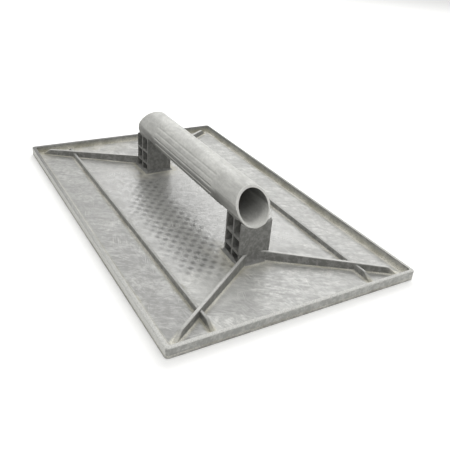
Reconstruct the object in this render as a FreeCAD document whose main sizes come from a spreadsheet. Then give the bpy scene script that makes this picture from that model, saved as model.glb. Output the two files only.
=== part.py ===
import FreeCAD, Part
import os
import Sketcher

# Plasterer's float: a broad flat plate, stiffened on its back by a rim and ribs, with a round
# handle held above it on two cored posts. The tool is one stiff plastic moulding; each member
# of the moulding is a solid of its own here, meeting its neighbours face to face.
#
# Frame: +X along the handle, +Y across the plate, +Z up, origin at the centre of the flat
# working face. "right" is +X, "left" -X, "front" -Y and "back" +Y. Millimetres and degrees.

DIMENSIONS = (
    # name, value, what it measures
    ("plate_length", 360, "plate, along the handle"),
    ("plate_width", 220, "plate, across the handle"),
    ("plate_thickness", 3, "plate, working face to upper face"),
    ("corner_radius", 3, "upright corners of the plate and rim"),
    ("working_edge_radius", 0.8, "rounding between the working face and the sides"),
    ("rim_height", 8.8, "working face to the top of the rim"),
    ("rim_top_width", 3.5, "rim, at its top"),
    ("rim_base_width", 4.5, "rim, where it meets the plate"),
    ("rim_edge_radius", 0.7, "rounding along the rim's outer top edge"),
    ("long_rib_offset", 71.2, "centre of each long rib from the handle's middle plane"),
    ("long_rib_height", 8.2, "working face to the top of the long ribs"),
    ("long_rib_top_width", 2.2, "long rib, at its top"),
    ("long_rib_base_width", 2.8, "long rib, at the plate"),
    ("rib_crossing", 151, "where the long and diagonal ribs cross, from the centre"),
    ("tail_shoulder", 163, "where the top of a rib's tail turns down, from the centre"),
    ("tail_tip", 171, "where a rib's tail ends on the plate, from the centre"),
    ("diagonal_root_offset", 8.9, "root of a diagonal rib on its post, from the middle plane"),
    ("diagonal_root_height", 11.8, "working face to a diagonal rib's top at the post"),
    ("diagonal_shoulder_height", 8.8, "the same where the top turns down to the plate"),
    ("diagonal_shoulder", 102, "post to that turn, along the rib"),
    ("diagonal_tip", 109.8, "post to the tip on the plate, along the rib"),
    ("diagonal_top_width", 2.4, "diagonal rib, at its top"),
    ("diagonal_base_width", 3.2, "diagonal rib, at the plate"),
    ("axis_height", 50, "working face to the handle's axis"),
    ("tube_radius", 16, "outside of the handle"),
    ("bore_radius", 13.7, "inside of the handle"),
    ("tube_half_length", 101.2, "centre to the slanted end, on the axis"),
    ("end_slope", 0.55, "how far each end runs out per millimetre of drop"),
    ("relief_radius", 15.5, "the handle's lower flanks above the posts"),
    ("relief_rise", 8, "top of that relief, degrees above the axis"),
    ("relief_start", 67, "inner end of that relief, from the centre"),
    ("grip_half_length", 58.5, "end of the flutes, from the centre"),
    ("flute_first", 45, "uppermost flute, degrees above the axis"),
    ("flute_pitch", 20, "flute to flute, degrees"),
    ("flute_count", 7, "flutes on each side"),
    ("flute_radius", 0.9, "section of a flute"),
    ("flute_depth", 0.5, "flute, below the handle's surface"),
    ("post_inner", 82.4, "inner face of a post, from the centre"),
    ("post_outer", 108.3, "outer face of a post, from the centre"),
    ("post_inner_half_width", 12.9, "half the post's width at its inner face"),
    ("post_outer_half_width", 14.3, "half the post's width at its outer face"),
    ("post_wall", 1.8, "inner and outer walls of a post"),
    ("post_middle_wall", 2.2, "upright wall between the two columns of pockets"),
    ("post_web", 2.4, "web in the middle plane, between the pockets of the two sides"),
    ("shelf_thickness", 2.2, "shelves between the rows of pockets"),
    ("lower_shelf", 11.6, "working face to the underside of the lower shelf"),
    ("upper_shelf", 24.5, "working face to the underside of the upper shelf"),
    ("pocket_ceiling", 40, "working face to the top of the upper pockets"),
    ("foot_height", 4.2, "working face to the top of a post's foot"),
    ("foot_inner_reach", 3, "foot beyond the post's inner face"),
    ("foot_outer_reach", 3.9, "foot beyond the post's outer face"),
    ("foot_side_reach", 3.2, "foot beyond the post's wider end, to each side"),
    ("foot_edge_radius", 0.8, "rounding along the foot's top edge"),
    ("sweep_inner", 2.2, "hollow sweep from the foot up the post's inner face"),
    ("sweep_outer", 3.2, "hollow sweep from the foot up the post's outer face"),
    ("margin", 2, "how far a cutting profile runs past what it cuts"),
)

doc = FreeCAD.newDocument("plasterers_float")
dims = doc.addObject("Spreadsheet::Sheet", "dims")
for row, (alias, amount, meaning) in enumerate(DIMENSIONS, start=1):
    dims.set(f"A{row}", meaning)
    dims.set(f"B{row}", str(amount))
    dims.setAlias(f"B{row}", alias)
doc.recompute()

nodes = []


def value(formula):
    """The number a formula of the sheet's names gives now."""
    result = dims.evalExpression(formula)
    return float(getattr(result, "Value", result))


def sub_part(label, feature):
    """Names a finished solid and lists it for export."""
    feature.Label = label
    nodes.append(feature)
    return feature


def new_body(name):
    return doc.addObject("PartDesign::Body", name)


def origin_item(body, role):
    return next(item for item in body.Origin.OriginFeatures if item.Role == role)


def sketch_on(body, name, role, lift="0"):
    """A sketch on one of the body's origin planes, lifted along the plane's normal."""
    sketch = body.newObject("Sketcher::SketchObject", name)
    sketch.AttachmentSupport = (origin_item(body, role), "")
    sketch.MapMode = "FlatFace"
    sketch.setExpression("AttachmentOffset.Base.z", lift)
    return sketch


def bind(sketch, kind, references, formula, label):
    """One driving dimension of a sketch, tied to a formula."""
    constraint = Sketcher.Constraint(kind, *references, value(formula))
    index = sketch.addConstraint(constraint)
    sketch.renameConstraint(index, label)
    sketch.setExpression(f"Constraints.{label}", formula)


def outline(sketch, corners, arcs=None):
    """A closed outline. corners are pairs of formulas; arcs gives {corner number: (radius
    formula, side)} for an edge that leaves that corner as an arc with its centre to the left
    (side 1) or right (side -1) of the way to the next corner."""
    arcs = arcs or {}
    first = sketch.GeometryCount
    points = [FreeCAD.Vector(value(x), value(y), 0) for x, y in corners]
    starts = []
    ends = []
    for number, start in enumerate(points):
        end = points[(number + 1) % len(points)]
        if number in arcs:
            radius_formula, side = arcs[number]
            radius = value(radius_formula)
            chord = end - start
            across = FreeCAD.Vector(-chord.y, chord.x, 0).normalize() * side
            centre = (start + end) / 2 + across * max(radius**2 - chord.Length**2 / 4, 0) ** 0.5
            circle = Part.Circle(centre, FreeCAD.Vector(0, 0, 1), radius)
            sweep = (circle.parameter(start), circle.parameter(end))
            index = sketch.addGeometry(Part.ArcOfCircle(circle, *sweep[::side]))
            bind(sketch, "Radius", (index,), radius_formula, f"radius_{index}")
            start_vertex, end_vertex = (1, 2)[::side]
        else:
            index = sketch.addGeometry(Part.LineSegment(start, end))
            start_vertex, end_vertex = 1, 2
        starts.append((index, start_vertex))
        ends.append((index, end_vertex))
    for number, (x, y) in enumerate(corners):
        previous_end = ends[number - 1]
        sketch.addConstraint(Sketcher.Constraint("Coincident", *previous_end, *starts[number]))
        bind(sketch, "DistanceX", (-1, 1, *starts[number]), x, f"x_{first + number}")
        bind(sketch, "DistanceY", (-1, 1, *starts[number]), y, f"y_{first + number}")


def circle(sketch, x, y, radius):
    """A circle whose centre and radius are formulas."""
    centre = FreeCAD.Vector(value(x), value(y), 0)
    index = sketch.addGeometry(Part.Circle(centre, FreeCAD.Vector(0, 0, 1), value(radius)))
    bind(sketch, "Radius", (index,), radius, f"radius_{index}")
    bind(sketch, "DistanceX", (-1, 1, index, 3), x, f"x_{index}")
    bind(sketch, "DistanceY", (-1, 1, index, 3), y, f"y_{index}")


def pad(body, name, sketch, length, symmetric=False):
    feature = body.newObject("PartDesign::Pad", name)
    feature.Profile = sketch
    feature.setExpression("Length", length)
    feature.SideType = "Symmetric" if symmetric else "One side"
    doc.recompute()
    return feature


def pocket(body, name, sketch, length=None, symmetric=False, reverse=False):
    """Cuts the sketch through the body, or to a length, and makes sure that it cut."""
    before = body.Shape.Volume
    feature = body.newObject("PartDesign::Pocket", name)
    feature.Profile = sketch
    feature.SideType = "Symmetric" if symmetric else "One side"
    feature.Reversed = reverse
    if length:
        feature.setExpression("Length", length)
    else:
        feature.Type = "ThroughAll"
    doc.recompute()
    if body.Shape.Volume > before - 1:
        raise RuntimeError(f"{name} cuts nothing")
    return feature


def pattern(body, name, originals, steps):
    """Repeats features by several transformations, one after the other."""
    feature = body.newObject("PartDesign::MultiTransform", name)
    feature.Originals = originals
    feature.Transformations = steps
    body.Tip = feature
    doc.recompute()
    return feature


def mirror_step(body, name, role):
    step = body.newObject("PartDesign::Mirrored", name)
    step.MirrorPlane = (origin_item(body, role), [""])
    return step


def fillet(body, name, base, picks, radius):
    """Rounds those edges of the base feature that picks accepts."""
    edges = [f"Edge{n}" for n, edge in enumerate(base.Shape.Edges, start=1) if picks(edge)]
    feature = body.newObject("PartDesign::Fillet", name)
    feature.Base = (base, edges)
    feature.setExpression("Radius", radius)
    doc.recompute()
    return feature


def boolean(kind, name, base, tool):
    feature = doc.addObject(kind, name)
    feature.Base = base
    feature.Tool = tool
    return feature


def rectangle(half_x, half_y):
    """Corner formulas of a rectangle about the origin."""
    return [
        (f"-({half_x})", f"-({half_y})"),
        (half_x, f"-({half_y})"),
        (half_x, half_y),
        (f"-({half_x})", half_y),
    ]


def is_upright(edge):
    box = edge.BoundBox
    return box.XLength < 0.01 and box.YLength < 0.01


def lies_at(edge, height):
    box = edge.BoundBox
    return abs(box.ZMin - height) < 0.01 and abs(box.ZMax - height) < 0.01


# --- Plate ------------------------------------------------------------------------------------


def make_plate():
    body = new_body("plate_body")
    plan = sketch_on(body, "plate_plan", "XY_Plane")
    outline(plan, rectangle("dims.plate_length / 2", "dims.plate_width / 2"))
    slab = pad(body, "plate_slab", plan, "dims.plate_thickness")
    rounded = fillet(body, "plate_corners", slab, is_upright, "dims.corner_radius")
    fillet(
        body,
        "plate_working_edge",
        rounded,
        lambda edge: lies_at(edge, 0),
        "dims.working_edge_radius",
    )
    sub_part("blade_plate", body)


# --- Rim: four drafted rails, mitred at the corners -----------------------------------------------


def make_rim_ring():
    """The whole rim in one, before it is split at the mitres."""
    body = new_body("rim_ring")
    plan = sketch_on(body, "rim_plan", "XY_Plane", "dims.plate_thickness")
    outline(plan, rectangle("dims.plate_length / 2", "dims.plate_width / 2"))
    block = pad(body, "rim_block", plan, "dims.rim_height - dims.plate_thickness")
    corners = fillet(body, "rim_corners", block, is_upright, "dims.corner_radius")
    top = value("dims.rim_height")
    fillet(body, "rim_top_edge", corners, lambda e: lies_at(e, top), "dims.rim_edge_radius")
    opening = sketch_on(body, "rim_opening", "XY_Plane", "dims.rim_height")
    outline(
        opening,
        rectangle(
            "dims.plate_length / 2 - dims.rim_top_width",
            "dims.plate_width / 2 - dims.rim_top_width",
        ),
    )
    hollow = pocket(body, "rim_hollow", opening, "dims.rim_height - dims.plate_thickness")
    hollow.setExpression(
        "TaperAngle",
        "-atan((dims.rim_base_width - dims.rim_top_width)"
        " / (dims.rim_height - dims.plate_thickness))",
    )
    doc.recompute()
    return body


def make_rim():
    ring = make_rim_ring()
    half_length = "dims.plate_length / 2"
    half_width = "dims.plate_width / 2"
    depth = "dims.rim_base_width * 2"
    for name, across, sign in (
        ("front_rim", False, "-"),
        ("back_rim", False, ""),
        ("left_rim", True, "-"),
        ("right_rim", True, ""),
    ):
        along, out = (half_width, half_length) if across else (half_length, half_width)
        corners = [
            (f"-({along})", f"{sign}({out})"),
            (along, f"{sign}({out})"),
            (f"{along} - {depth}", f"{sign}({out} - {depth})"),
            (f"-({along} - {depth})", f"{sign}({out} - {depth})"),
        ]
        if across:
            corners = [(y, x) for x, y in corners]
        body = new_body(f"{name}_mitre")
        plan = sketch_on(body, f"{name}_mitre_plan", "XY_Plane")
        outline(plan, corners)
        pad(body, f"{name}_mitre_block", plan, "dims.rim_height + dims.margin")
        sub_part(name, boolean("Part::Common", f"{name}_rail", ring, body))


# --- Diagonal ribs, from the posts to the corners ------------------------------------------------


def make_post_span():
    """The block between the outer faces of the two posts, where the diagonal ribs end."""
    span = doc.addObject("Part::Box", "post_span")
    span.setExpression("Length", "2 * dims.post_outer")
    span.setExpression("Width", "4 * dims.post_outer_half_width")
    span.setExpression("Height", "dims.diagonal_root_height + dims.margin")
    span.setExpression("Placement.Base.x", "-dims.post_outer")
    span.setExpression("Placement.Base.y", "-2 * dims.post_outer_half_width")
    return span


DIAGONAL_SLOPE = (
    "atan((dims.long_rib_offset - dims.diagonal_root_offset)"
    " / (dims.rib_crossing - dims.post_outer))"
)


def make_diagonal_ribs():
    span = make_post_span()
    ribs = []
    for name, side_x, side_y, turn in (
        ("front_left_diagonal_rib", "-", "-", f"180 deg + {DIAGONAL_SLOPE}"),
        ("front_right_diagonal_rib", "", "-", f"-{DIAGONAL_SLOPE}"),
        ("back_left_diagonal_rib", "-", "", f"180 deg - {DIAGONAL_SLOPE}"),
        ("back_right_diagonal_rib", "", "", DIAGONAL_SLOPE),
    ):
        body = new_body(f"{name}_body")
        # The drafted section runs out from inside the post, along the body's own X.
        section = sketch_on(body, f"{name}_section", "YZ_Plane", "-dims.post_outer_half_width")
        outline(
            section,
            [
                ("-dims.diagonal_base_width / 2", "dims.plate_thickness"),
                ("dims.diagonal_base_width / 2", "dims.plate_thickness"),
                ("dims.diagonal_top_width / 2", "dims.diagonal_root_height"),
                ("-dims.diagonal_top_width / 2", "dims.diagonal_root_height"),
            ],
        )
        pad(body, f"{name}_bar", section, "dims.post_outer_half_width + dims.diagonal_tip")
        # The top falls gently to the shoulder, then drops to the plate at the tip.
        fall = sketch_on(body, f"{name}_fall", "XZ_Plane")
        outline(
            fall,
            [
                ("0", "dims.diagonal_root_height"),
                ("dims.diagonal_shoulder", "dims.diagonal_shoulder_height"),
                ("dims.diagonal_tip", "dims.plate_thickness"),
                ("dims.diagonal_tip + dims.margin", "dims.plate_thickness"),
                ("dims.diagonal_tip + dims.margin", "dims.diagonal_root_height + dims.margin"),
                ("0", "dims.diagonal_root_height + dims.margin"),
            ],
        )
        pocket(body, f"{name}_top", fall, symmetric=True)
        body.setExpression("Placement.Base.x", f"{side_x}dims.post_outer")
        body.setExpression("Placement.Base.y", f"{side_y}dims.diagonal_root_offset")
        body.setExpression("Placement.Rotation.Angle", turn)
        ribs.append(sub_part(name, boolean("Part::Cut", f"{name}_cut", body, span)))
    cross = doc.addObject("Part::Compound", "diagonal_ribs")
    cross.Links = ribs
    return cross


# --- Long ribs and their tails -------------------------------------------------------------------


def rib_section(body, name, lift):
    section = sketch_on(body, name, "YZ_Plane", lift)
    outline(
        section,
        [
            ("-dims.long_rib_base_width / 2", "dims.plate_thickness"),
            ("dims.long_rib_base_width / 2", "dims.plate_thickness"),
            ("dims.long_rib_top_width / 2", "dims.long_rib_height"),
            ("-dims.long_rib_top_width / 2", "dims.long_rib_height"),
        ],
    )
    return section


def make_long_ribs(diagonals):
    for side, sign in (("front", "-"), ("back", "")):
        body = new_body(f"{side}_long_rib_body")
        section = rib_section(body, f"{side}_long_rib_section", "0")
        pad(body, f"{side}_long_rib_bar", section, "2 * dims.rib_crossing", symmetric=True)
        body.setExpression("Placement.Base.y", f"{sign}dims.long_rib_offset")
        cut = boolean("Part::Cut", f"{side}_long_rib_cut", body, diagonals)
        sub_part(f"{side}_long_rib", cut)


def make_rib_tails(diagonals):
    """The short ends of the long ribs, outside the diagonals, running down to the plate."""
    for side, sign in (("front", "-"), ("back", "")):
        for end, turn in (("left", "180"), ("right", "0")):
            name = f"{side}_{end}_rib_tail"
            body = new_body(f"{name}_body")
            section = rib_section(body, f"{name}_section", "dims.rib_crossing")
            pad(body, f"{name}_bar", section, "dims.tail_tip - dims.rib_crossing")
            fall = sketch_on(body, f"{name}_fall", "XZ_Plane")
            outline(
                fall,
                [
                    ("dims.tail_shoulder", "dims.long_rib_height"),
                    ("dims.tail_tip", "dims.plate_thickness"),
                    ("dims.tail_tip + dims.margin", "dims.plate_thickness"),
                    ("dims.tail_tip + dims.margin", "dims.long_rib_height + dims.margin"),
                    ("dims.tail_shoulder", "dims.long_rib_height + dims.margin"),
                ],
            )
            pocket(body, f"{name}_top", fall, symmetric=True)
            body.setExpression("Placement.Base.y", f"{sign}dims.long_rib_offset")
            body.setExpression("Placement.Rotation.Angle", turn)
            sub_part(name, boolean("Part::Cut", f"{name}_cut", body, diagonals))


# --- Handle: a tube with slanted ends and a fluted grip ------------------------------------------


def make_handle():
    body = new_body("handle_body")
    ring = sketch_on(body, "tube_ring", "YZ_Plane")
    circle(ring, "0", "dims.axis_height", "dims.tube_radius")
    reach = "2 * (dims.tube_half_length + dims.end_slope * dims.tube_radius)"
    pad(body, "tube_solid", ring, reach, symmetric=True)

    # Each end is cut on a slant, longer below than above.
    drop = "(dims.tube_radius + dims.margin)"
    high = f"dims.axis_height + {drop}"
    low = f"dims.axis_height - {drop}"
    past = f"dims.tube_half_length + dims.end_slope * {drop} + dims.margin"
    slant = sketch_on(body, "end_slant", "XZ_Plane")
    outline(
        slant,
        [
            (f"dims.tube_half_length - dims.end_slope * {drop}", high),
            (f"dims.tube_half_length + dims.end_slope * {drop}", low),
            (past, low),
            (past, high),
        ],
    )
    end_cut = pocket(body, "end_cut", slant, symmetric=True)
    pattern(body, "both_ends", [end_cut], [mirror_step(body, "end_mirror", "YZ_Plane")])

    bore = sketch_on(body, "bore_ring", "YZ_Plane")
    circle(bore, "0", "dims.axis_height", "dims.bore_radius")
    pocket(body, "bore", bore, symmetric=True)

    # Over the posts the lower flanks are drawn in a little, under a narrow ledge.
    ledge_y = "dims.relief_radius * cos(dims.relief_rise)"
    ledge_z = "dims.axis_height + dims.relief_radius * sin(dims.relief_rise)"
    outside = "dims.tube_radius + dims.margin"
    underside = f"dims.axis_height - ({outside})"
    relief = sketch_on(body, "relief_section", "YZ_Plane", "dims.relief_start")
    outline(
        relief,
        [
            (f"-{ledge_y}", ledge_z),
            ("0", "dims.axis_height - dims.relief_radius"),
            (ledge_y, ledge_z),
            (outside, ledge_z),
            (outside, underside),
            (f"-({outside})", underside),
            (f"-({outside})", ledge_z),
        ],
        {0: ("dims.relief_radius", 1), 1: ("dims.relief_radius", 1)},
    )
    relief_cut = pocket(body, "relief_cut", relief, reverse=True)
    pattern(body, "both_reliefs", [relief_cut], [mirror_step(body, "relief_mirror", "YZ_Plane")])

    # Flutes run along the grip, from high on each flank round to the underside.
    seat = "(dims.tube_radius + dims.flute_radius - dims.flute_depth)"
    flute = sketch_on(body, "flute_section", "YZ_Plane")
    circle(
        flute,
        f"-{seat} * cos(dims.flute_first)",
        f"dims.axis_height + {seat} * sin(dims.flute_first)",
        "dims.flute_radius",
    )
    flute_cut = pocket(body, "flute_cut", flute, "2 * dims.grip_half_length", symmetric=True)
    axis = sketch_on(body, "handle_axis", "XY_Plane", "dims.axis_height")
    outline(axis, rectangle("dims.grip_half_length", "dims.bore_radius"))
    turn = body.newObject("PartDesign::PolarPattern", "flute_turn")
    turn.Axis = (axis, ["H_Axis"])
    turn.setExpression("Angle", "dims.flute_pitch * (dims.flute_count - 1)")
    turn.setExpression("Occurrences", "dims.flute_count")
    mirror = mirror_step(body, "flute_mirror", "XZ_Plane")
    pattern(body, "all_flutes", [flute_cut], [turn, mirror])
    sub_part("handle_tube", body)


# --- Posts: cored from both sides into a lattice of pockets --------------------------------------


def make_saddle():
    """The handle's underside over the posts."""
    saddle = doc.addObject("Part::Cylinder", "saddle")
    saddle.setExpression("Radius", "dims.relief_radius")
    saddle.setExpression("Height", "dims.plate_length")
    saddle.setExpression("Placement.Base.x", "-dims.plate_length / 2")
    saddle.setExpression("Placement.Base.z", "dims.axis_height")
    saddle.Placement.Rotation = FreeCAD.Rotation(FreeCAD.Vector(0, 1, 0), 90)
    return saddle


def make_posts():
    saddle = make_saddle()
    inner = "dims.post_inner"
    outer = "dims.post_outer"
    for side, turn in (("left", "180"), ("right", "0")):
        body = new_body(f"{side}_post_body")
        plan = sketch_on(body, f"{side}_post_plan", "XY_Plane", "dims.foot_height")
        outline(
            plan,
            [
                (inner, "-dims.post_inner_half_width"),
                (outer, "-dims.post_outer_half_width"),
                (outer, "dims.post_outer_half_width"),
                (inner, "dims.post_inner_half_width"),
            ],
        )
        # The sides stop where the handle is exactly as wide as the post's outer face.
        top = (
            "dims.axis_height"
            " - sqrt(dims.relief_radius ^ 2 - dims.post_outer_half_width ^ 2)"
        )
        pad(body, f"{side}_post_block", plan, f"{top} - dims.foot_height")

        # The outer face's top follows the handle's slanted end.
        end_x = f"dims.tube_half_length + dims.end_slope * (dims.axis_height - {top})"
        meet_z = f"dims.axis_height - ({outer} - dims.tube_half_length) / dims.end_slope"
        slant = sketch_on(body, f"{side}_post_slant", "XZ_Plane")
        outline(
            slant,
            [
                (f"{end_x} - dims.end_slope * dims.margin", f"{top} + dims.margin"),
                (outer, meet_z),
                (f"{outer} + dims.margin", meet_z),
                (f"{outer} + dims.margin", f"{top} + dims.margin"),
            ],
        )
        pocket(body, f"{side}_post_slant_cut", slant, symmetric=True)

        # One column of three pockets, repeated for the second column and the other side.
        width = f"(({outer} - {inner} - dims.post_middle_wall) / 2 - dims.post_wall)"
        rows = (
            ("low", "dims.foot_height", "dims.lower_shelf"),
            ("middle", "dims.lower_shelf + dims.shelf_thickness", "dims.upper_shelf"),
            ("high", "dims.upper_shelf + dims.shelf_thickness", "dims.pocket_ceiling"),
        )
        left_x = f"{inner} + dims.post_wall"
        right_x = f"{left_x} + {width}"
        cuts = []
        for row_name, bottom, ceiling in rows:
            name = f"{side}_post_{row_name}_pocket"
            window = sketch_on(body, f"{name}_window", "XZ_Plane", "dims.post_web / 2")
            corners = [(left_x, bottom), (right_x, bottom), (right_x, ceiling), (left_x, ceiling)]
            outline(window, corners)
            depth = "dims.post_outer_half_width"
            cuts.append(pocket(body, name, window, depth, reverse=True))
        columns = body.newObject("PartDesign::LinearPattern", f"{side}_post_columns")
        columns.Direction = (origin_item(body, "X_Axis"), [""])
        columns.setExpression("Length", f"{width} + dims.post_middle_wall")
        columns.Occurrences = 2
        mirror = mirror_step(body, f"{side}_post_mirror", "XZ_Plane")
        pattern(body, f"{side}_post_lattice", cuts, [columns, mirror])
        body.setExpression("Placement.Rotation.Angle", turn)
        sub_part(f"{side}_post", boolean("Part::Cut", f"{side}_post_cut", body, saddle))


# --- Feet: a low pad round each post, swept up its plain faces -----------------------------------


def make_feet(diagonals):
    inner_edge = "dims.post_inner - dims.foot_inner_reach"
    outer_edge = "dims.post_outer + dims.foot_outer_reach"
    half_width = "dims.post_outer_half_width + dims.foot_side_reach"
    # The outer sweep fills the gap between the diagonal ribs at its toe.
    gap = (
        f"dims.diagonal_root_offset + dims.sweep_outer * tan({DIAGONAL_SLOPE})"
        f" - dims.diagonal_base_width / 2 / cos({DIAGONAL_SLOPE})"
    )
    for side, turn in (("left", "180"), ("right", "0")):
        body = new_body(f"{side}_foot_body")
        plan = sketch_on(body, f"{side}_foot_plan", "XY_Plane", "dims.plate_thickness")
        outline(
            plan,
            [
                (inner_edge, f"-({half_width})"),
                (outer_edge, f"-({half_width})"),
                (outer_edge, half_width),
                (inner_edge, half_width),
            ],
        )
        slab = pad(body, f"{side}_foot_slab", plan, "dims.foot_height - dims.plate_thickness")
        top = value("dims.foot_height")
        fillet(
            body,
            f"{side}_foot_edge",
            slab,
            lambda edge: lies_at(edge, top),
            "dims.foot_edge_radius",
        )
        for name, face, reach, width in (
            ("inner", "dims.post_inner", "dims.sweep_inner", "dims.post_inner_half_width"),
            ("outer", "dims.post_outer", "dims.sweep_outer", gap),
        ):
            outward = "-" if name == "inner" else "+"
            sweep = sketch_on(body, f"{side}_{name}_sweep_section", "XZ_Plane")
            outline(
                sweep,
                [
                    (f"{face} {outward} {reach}", "dims.foot_height"),
                    (face, "dims.foot_height"),
                    (face, f"dims.foot_height + {reach}"),
                ],
                {2: (reach, -1 if name == "outer" else 1)},
            )
            pad(body, f"{side}_{name}_sweep", sweep, f"2 * ({width})", symmetric=True)
        body.setExpression("Placement.Rotation.Angle", turn)
        sub_part(f"{side}_post_foot", boolean("Part::Cut", f"{side}_foot_cut", body, diagonals))


make_plate()
make_rim()
diagonal_ribs = make_diagonal_ribs()
make_long_ribs(diagonal_ribs)
make_rib_tails(diagonal_ribs)
make_handle()
make_posts()
make_feet(diagonal_ribs)
doc.recompute()

for item in doc.Objects:
    if {"Invalid", "Error"} & set(item.State):
        raise RuntimeError(f"{item.Label} did not build: {item.State}")
for node in nodes:
    shape = node.Shape
    if shape.isNull() or not shape.isValid() or len(shape.Solids) != 1:
        raise RuntimeError(f"{node.Label} is not one sound solid")

os.makedirs("parts", exist_ok=True)
for node in nodes:
    node.Shape.exportStep(f"parts/{node.Label}.step")
    print(f"{node.Label}: {node.Shape.Volume:.0f} mm3")
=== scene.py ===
import math

import bpy
import bmesh
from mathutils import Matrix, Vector, noise


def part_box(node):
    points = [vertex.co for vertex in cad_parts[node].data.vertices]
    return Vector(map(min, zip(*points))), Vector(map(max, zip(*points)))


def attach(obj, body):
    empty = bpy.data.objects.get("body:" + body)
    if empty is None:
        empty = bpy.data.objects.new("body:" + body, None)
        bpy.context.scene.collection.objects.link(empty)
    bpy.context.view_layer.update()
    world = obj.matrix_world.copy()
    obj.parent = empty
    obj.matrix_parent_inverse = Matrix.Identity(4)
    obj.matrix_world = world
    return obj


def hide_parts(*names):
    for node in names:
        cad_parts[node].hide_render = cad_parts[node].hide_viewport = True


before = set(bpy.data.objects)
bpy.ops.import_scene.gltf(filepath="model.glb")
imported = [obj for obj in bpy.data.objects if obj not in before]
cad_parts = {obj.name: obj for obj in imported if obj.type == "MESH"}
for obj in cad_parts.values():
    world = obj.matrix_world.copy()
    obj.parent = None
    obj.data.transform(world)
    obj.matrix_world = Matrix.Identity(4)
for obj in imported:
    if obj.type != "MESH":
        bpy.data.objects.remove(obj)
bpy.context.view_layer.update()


# --- Blade ------------------------------------------------------------------------------------
# The broad flat plate of the float, part of one moulding in grey polypropylene. Its back has
# a shallow dimpled pattern, scuffed and dulled by use, and fine cement dust lies along the
# foot of everything that stands on it. Its working face is rubbed flat.

mm = 0.001
weld = 0.002 * mm
plate_high = Vector(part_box("blade_plate")[1])
plate_top = plate_high.z
corner_radius = 3 * mm
working_edge_radius = 0.8 * mm
working_edge_steps = 4

skin_inset = 4 * mm
skin_lap = 0.3 * mm
skin_step = 1 * mm
skin_thickness = 0.6 * mm
tray_depth = 0.5 * mm

dimple_depth = 0.17 * mm
dimple_pitch = Vector((12 * mm, 10.6 * mm))
dimple_shift = 2.2 * mm
dimple_left = 0.08
band_start, band_slant = -79 * mm, 0.54
band_width, band_least, band_most = 20 * mm, 17 * mm, 54 * mm
band_front_fade = (-12 * mm, 5 * mm)
band_back_fade = (-6 * mm, -20 * mm)
band_left_fade = (-104 * mm, -86 * mm)
band_right_fade = (126 * mm, 108 * mm)
under_handle_fade_x = (108 * mm, 90 * mm)
under_handle_fade_y = (80 * mm, 48 * mm)


def piece_from(name, verts, faces, nodes, crease=30):
    """A smooth-shaded piece that rides on the float and stands for its CAD nodes."""
    mesh = bpy.data.meshes.new(name)
    mesh.from_pydata([tuple(v) for v in verts], [], faces)
    bm = bmesh.new()
    bm.from_mesh(mesh)
    bmesh.ops.remove_doubles(bm, verts=bm.verts, dist=weld)
    bmesh.ops.recalc_face_normals(bm, faces=bm.faces)
    bm.to_mesh(mesh)
    bm.free()
    mesh.shade_smooth()
    mesh.set_sharp_from_angle(angle=math.radians(crease))
    piece = bpy.data.objects.new(name, mesh)
    bpy.context.scene.collection.objects.link(piece)
    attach(piece, "root")
    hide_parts(*nodes)
    return piece


def paint(piece, name, amount):
    """Keeps amount(position) at each vertex, from 0 to 1, for the material to read."""
    layer = piece.data.attributes.new(name, "FLOAT", "POINT")
    layer.data.foreach_set("value", [amount(v.co) for v in piece.data.vertices])


def rounded_loop(half_x, half_y, radius, z, steps=6):
    """A level rounded rectangle about the origin, anticlockwise from above."""
    loop = []
    for quarter, (side_x, side_y) in enumerate(((1, 1), (-1, 1), (-1, -1), (1, -1))):
        for step in range(steps + 1):
            angle = math.radians(90 * (quarter + step / steps))
            x = side_x * (half_x - radius) + radius * math.cos(angle)
            y = side_y * (half_y - radius) + radius * math.sin(angle)
            loop.append(Vector((x, y, z)))
    return loop


def join_loops(loops, closed=False, capped=False):
    """Vertices and faces of a skin over loops of equal length, open at its two ends unless it
    is closed on itself or capped."""
    verts = [v for loop in loops for v in loop]
    count = len(loops[0])
    faces = []
    for row in range(len(loops) if closed else len(loops) - 1):
        here = row * count
        there = (row + 1) % len(loops) * count
        for i in range(count):
            j = (i + 1) % count
            faces.append((here + i, here + j, there + j, there + i))
    if capped:
        faces.append(tuple(range(count)))
        faces.append(tuple(range(len(verts) - count, len(verts))))
    return verts, faces


def smooth_step(start, end, amount):
    """0 at start and 1 at end, eased, whichever of the two is larger."""
    t = min(max((amount - start) / (end - start), 0), 1)
    return t * t * (3 - 2 * t)


def dimple(x, y):
    """How deep the moulded pattern is, from 0 to 1: round dimples in offset rows, left clear
    in a slanting band in front of the handle and all but rubbed away elsewhere."""
    along = math.cos(2 * math.pi * x / dimple_pitch.x)
    wave = along * math.cos(2 * math.pi * (y - dimple_shift) / dimple_pitch.y)
    bowl = smooth_step(-0.2, 0.8, wave)
    front = -min(max(band_width + band_slant * (x - band_start), band_least), band_most)
    front_fade = [front + offset for offset in band_front_fade]
    across = smooth_step(*front_fade, y) * smooth_step(*band_back_fade, y)
    clear = across * smooth_step(*band_left_fade, x) * smooth_step(*band_right_fade, x)
    uneven = 0.95 + 0.5 * noise.noise(Vector((x, y, 0)) * 28)
    return bowl * min(max(uneven, 0.2), 1) * (dimple_left + (1 - dimple_left) * clear)


def under_handle_shade_and_gloss(x, y):
    """1 under the handle, where the blade is glossier and takes the painted shadow and reflection
    of the handle, falling to 0 past the posts.
    """
    return smooth_step(*under_handle_fade_x, abs(x)) * smooth_step(*under_handle_fade_y, abs(y))


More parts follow.
